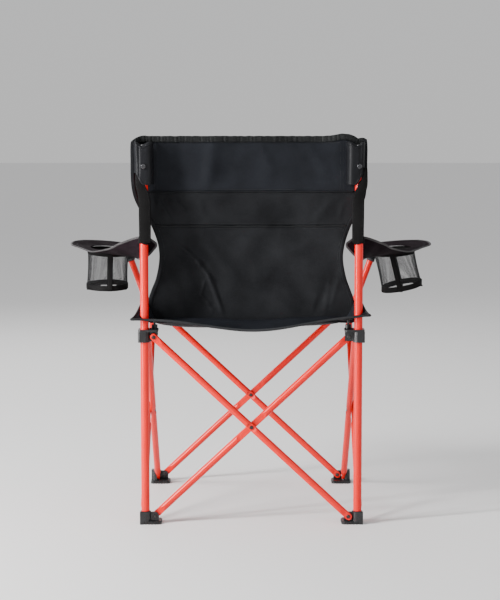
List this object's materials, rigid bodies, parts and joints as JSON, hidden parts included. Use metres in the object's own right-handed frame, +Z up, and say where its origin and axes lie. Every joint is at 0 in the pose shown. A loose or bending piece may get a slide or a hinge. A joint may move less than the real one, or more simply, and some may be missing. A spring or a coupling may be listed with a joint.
{
  "type": "folding camp chair",
  "caption": "Folding camp chair: painted scissor frame on four moulded feet, black sling seat and back, flared arm slings and mesh cup holders.",
  "frame": {"origin": "on the floor, at the middle of the chair's footprint", "axes": "+Z up, -Y the way the sitter faces, +X the sitter's left"},
  "size_m": [0.8964, 0.524, 0.883],
  "materials": {
    "coral_paint": "glossy coral-red powder coat",
    "black_plastic": "moulded black nylon, fine texture",
    "dark_rivet": "black steel rivets, satin",
    "dark_snap": "gunmetal domed snap",
    "black_fabric": "plain-weave coated polyester",
    "black_webbing": "ribbed polypropylene webbing",
    "black_mesh": "open knitted mesh"
  },
  "bodies": {
    "rear_left_leg": {"rear_left_foot": "black_plastic", "upright_left": "coral_paint", "upright_cap_left": "black_plastic", "rear_left_low_rivets": "dark_rivet", "back_panel_upper": "black_fabric", "back_panel_middle": "black_fabric", "back_panel_lower": "black_fabric", "back_pocket_left": "black_fabric", "pocket_snap_left": "dark_snap", "strap_left": "black_webbing"},
    "rear_right_leg": {"rear_right_foot": "black_plastic", "upright_right": "coral_paint", "upright_cap_right": "black_plastic", "rear_right_low_rivets": "dark_rivet", "back_pocket_right": "black_fabric", "pocket_snap_right": "dark_snap", "strap_right": "black_webbing"},
    "rear_bar_a": {"rear_bar_a": "coral_paint"},
    "rear_bar_b": {"rear_bar_b": "coral_paint", "rear_centre_rivet": "dark_rivet"},
    "front_bar_a": {"front_bar_a": "coral_paint"},
    "front_bar_b": {"front_bar_b": "coral_paint", "front_centre_rivet": "dark_rivet"},
    "left_bar_a": {"left_bar_a": "coral_paint"},
    "left_bar_b": {"left_bar_b": "coral_paint", "left_centre_rivet": "dark_rivet"},
    "left_collar": {"left_collar": "black_plastic", "rear_left_high_rivets": "dark_rivet", "rear_left_seat_screw": "dark_rivet"},
    "left_hub": {"left_hub": "black_plastic", "front_left_high_rivets": "dark_rivet", "front_left_seat_screw": "dark_rivet"},
    "front_left_foot": {"front_left_foot": "black_plastic", "front_left_low_rivets": "dark_rivet"},
    "left_arm_post": {"arm_post_left": "coral_paint", "arm_pocket_left": "black_fabric"},
    "left_arm": {"arm_sling_left": "black_fabric", "cup_mesh_left": "black_mesh", "cup_webbing_left": "black_webbing"},
    "right_bar_a": {"right_bar_a": "coral_paint"},
    "right_bar_b": {"right_bar_b": "coral_paint", "right_centre_rivet": "dark_rivet"},
    "right_collar": {"right_collar": "black_plastic", "rear_right_high_rivets": "dark_rivet", "rear_right_seat_screw": "dark_rivet"},
    "right_hub": {"right_hub": "black_plastic", "front_right_high_rivets": "dark_rivet", "front_right_seat_screw": "dark_rivet"},
    "front_right_foot": {"front_right_foot": "black_plastic", "front_right_low_rivets": "dark_rivet"},
    "right_arm_post": {"arm_post_right": "coral_paint", "arm_pocket_right": "black_fabric"},
    "right_arm": {"arm_sling_right": "black_fabric", "cup_mesh_right": "black_mesh", "cup_webbing_right": "black_webbing"},
    "seat_rear": {"seat_panel_rear": "black_fabric"},
    "seat_front": {"seat_panel_front": "black_fabric"},
    "seat_left": {"seat_panel_left": "black_fabric"},
    "seat_right": {"seat_panel_right": "black_fabric"}
  },
  "joints": [
    {"name": "fold", "type": "hinge", "parent": "rear_left_leg", "child": "rear_bar_b", "pos_m": [0.22087, 0.24187, 0.018], "axis": [0, 1, 0], "range_deg": [0, 37], "deforming": ["back_panel_upper", "back_panel_middle", "back_panel_lower"]},
    {"name": "rear_scissor", "type": "hinge", "parent": "rear_bar_b", "child": "rear_bar_a", "pos_m": [0, 0.24187, 0.22396], "axis": [0, 1, 0], "range_deg": [-74, 0]},
    {"name": "rear_right_leg_pivot", "type": "hinge", "parent": "rear_bar_a", "child": "rear_right_leg", "pos_m": [-0.22087, 0.24187, 0.018], "axis": [0, 1, 0], "range_deg": [0, 37]},
    {"name": "left_collar_pivot", "type": "hinge", "parent": "rear_bar_a", "child": "left_collar", "pos_m": [0.22087, 0.24187, 0.42993], "axis": [0, 1, 0], "range_deg": [0, 37]},
    {"name": "right_collar_pivot", "type": "hinge", "parent": "rear_bar_b", "child": "right_collar", "pos_m": [-0.22087, 0.24187, 0.42993], "axis": [0, 1, 0], "range_deg": [-37, 0]},
    {"name": "left_side_pivot", "type": "hinge", "parent": "rear_left_leg", "child": "left_bar_b", "pos_m": [0.24187, 0.22087, 0.018], "axis": [-1, 0, 0], "range_deg": [0, 37]},
    {"name": "left_scissor", "type": "hinge", "parent": "left_bar_b", "child": "left_bar_a", "pos_m": [0.24187, 0, 0.22396], "axis": [-1, 0, 0], "range_deg": [-74, 0]},
    {"name": "front_left_foot_pivot", "type": "hinge", "parent": "left_bar_a", "child": "front_left_foot", "pos_m": [0.24187, -0.22087, 0.018], "axis": [-1, 0, 0], "range_deg": [0, 37]},
    {"name": "left_hub_pivot", "type": "hinge", "parent": "left_bar_b", "child": "left_hub", "pos_m": [0.24187, -0.22087, 0.42993], "axis": [-1, 0, 0], "range_deg": [-37, 0]},
    {"name": "left_post_swing", "type": "hinge", "parent": "left_hub", "child": "left_arm_post", "pos_m": [0.25387, -0.24187, 0.43593], "axis": [0, 1, 0], "range_deg": [-20.35, 0]},
    {"name": "left_arm_drop", "type": "hinge", "parent": "left_arm_post", "child": "left_arm", "pos_m": [0.31368, -0.24187, 0.59719], "axis": [0, 1, 0], "range_deg": [0, 86.35], "deforming": ["arm_sling_left", "cup_mesh_left", "cup_webbing_left"]},
    {"name": "right_side_pivot", "type": "hinge", "parent": "rear_right_leg", "child": "right_bar_b", "pos_m": [-0.24187, 0.22087, 0.018], "axis": [-1, 0, 0], "range_deg": [0, 37]},
    {"name": "right_scissor", "type": "hinge", "parent": "right_bar_b", "child": "right_bar_a", "pos_m": [-0.24187, 0, 0.22396], "axis": [-1, 0, 0], "range_deg": [-74, 0]},
    {"name": "front_right_foot_pivot", "type": "hinge", "parent": "right_bar_a", "child": "front_right_foot", "pos_m": [-0.24187, -0.22087, 0.018], "axis": [-1, 0, 0], "range_deg": [0, 37]},
    {"name": "right_hub_pivot", "type": "hinge", "parent": "right_bar_b", "child": "right_hub", "pos_m": [-0.24187, -0.22087, 0.42993], "axis": [-1, 0, 0], "range_deg": [-37, 0]},
    {"name": "right_post_swing", "type": "hinge", "parent": "right_hub", "child": "right_arm_post", "pos_m": [-0.25387, -0.24187, 0.43593], "axis": [0, 1, 0], "range_deg": [0, 20.35]},
    {"name": "right_arm_drop", "type": "hinge", "parent": "right_arm_post", "child": "right_arm", "pos_m": [-0.31368, -0.24187, 0.59719], "axis": [0, 1, 0], "range_deg": [-86.35, 0], "deforming": ["arm_sling_right", "cup_mesh_right", "cup_webbing_right"]},
    {"name": "front_foot_scissor_pivot", "type": "hinge", "parent": "front_left_foot", "child": "front_bar_b", "pos_m": [0.22087, -0.24187, 0.018], "axis": [0, 1, 0], "range_deg": [0, 37]},
    {"name": "front_scissor", "type": "hinge", "parent": "front_bar_b", "child": "front_bar_a", "pos_m": [0, -0.24187, 0.22396], "axis": [0, 1, 0], "range_deg": [-74, 0]},
    {"name": "seat_rear_drop", "type": "hinge", "parent": "left_collar", "child": "seat_rear", "pos_m": [0, 0.262, 0.468], "axis": [1, 0, 0], "range_deg": [0, 59.2], "deforming": ["seat_panel_rear"]},
    {"name": "seat_front_drop", "type": "hinge", "parent": "left_hub", "child": "seat_front", "pos_m": [0, -0.262, 0.468], "axis": [-1, 0, 0], "range_deg": [0, 59.2], "deforming": ["seat_panel_front"]},
    {"name": "seat_left_drop", "type": "hinge", "parent": "left_hub", "child": "seat_left", "pos_m": [0.243, -0.262, 0.468], "axis": [-0.0477, -0.9989, 0], "range_deg": [0, 59.2], "deforming": ["seat_panel_left"]},
    {"name": "seat_right_drop", "type": "hinge", "parent": "right_hub", "child": "seat_right", "pos_m": [-0.243, -0.262, 0.468], "axis": [-0.0477, 0.9989, 0], "range_deg": [0, 59.2], "deforming": ["seat_panel_right"]}
  ],
  "couplings": [
    {"joint": "rear_scissor", "follows": "fold", "ratio": -2},
    {"joint": "rear_right_leg_pivot", "follows": "fold", "ratio": 1},
    {"joint": "left_collar_pivot", "follows": "fold", "ratio": 1},
    {"joint": "right_collar_pivot", "follows": "fold", "ratio": -1},
    {"joint": "left_side_pivot", "follows": "fold", "ratio": 1},
    {"joint": "left_scissor", "follows": "fold", "ratio": -2},
    {"joint": "front_left_foot_pivot", "follows": "fold", "ratio": 1},
    {"joint": "left_hub_pivot", "follows": "fold", "ratio": -1},
    {"joint": "left_post_swing", "follows": "fold", "ratio": -0.55},
    {"joint": "left_arm_drop", "follows": "fold", "ratio": 2.3338},
    {"joint": "right_side_pivot", "follows": "fold", "ratio": 1},
    {"joint": "right_scissor", "follows": "fold", "ratio": -2},
    {"joint": "front_right_foot_pivot", "follows": "fold", "ratio": 1},
    {"joint": "right_hub_pivot", "follows": "fold", "ratio": -1},
    {"joint": "right_post_swing", "follows": "fold", "ratio": 0.55},
    {"joint": "right_arm_drop", "follows": "fold", "ratio": -2.3338},
    {"joint": "front_foot_scissor_pivot", "follows": "fold", "ratio": 1},
    {"joint": "front_scissor", "follows": "fold", "ratio": -2},
    {"joint": "seat_rear_drop", "follows": "fold", "ratio": 1.6},
    {"joint": "seat_front_drop", "follows": "fold", "ratio": 1.6},
    {"joint": "seat_left_drop", "follows": "fold", "ratio": 1.6},
    {"joint": "seat_right_drop", "follows": "fold", "ratio": 1.6}
  ]
}
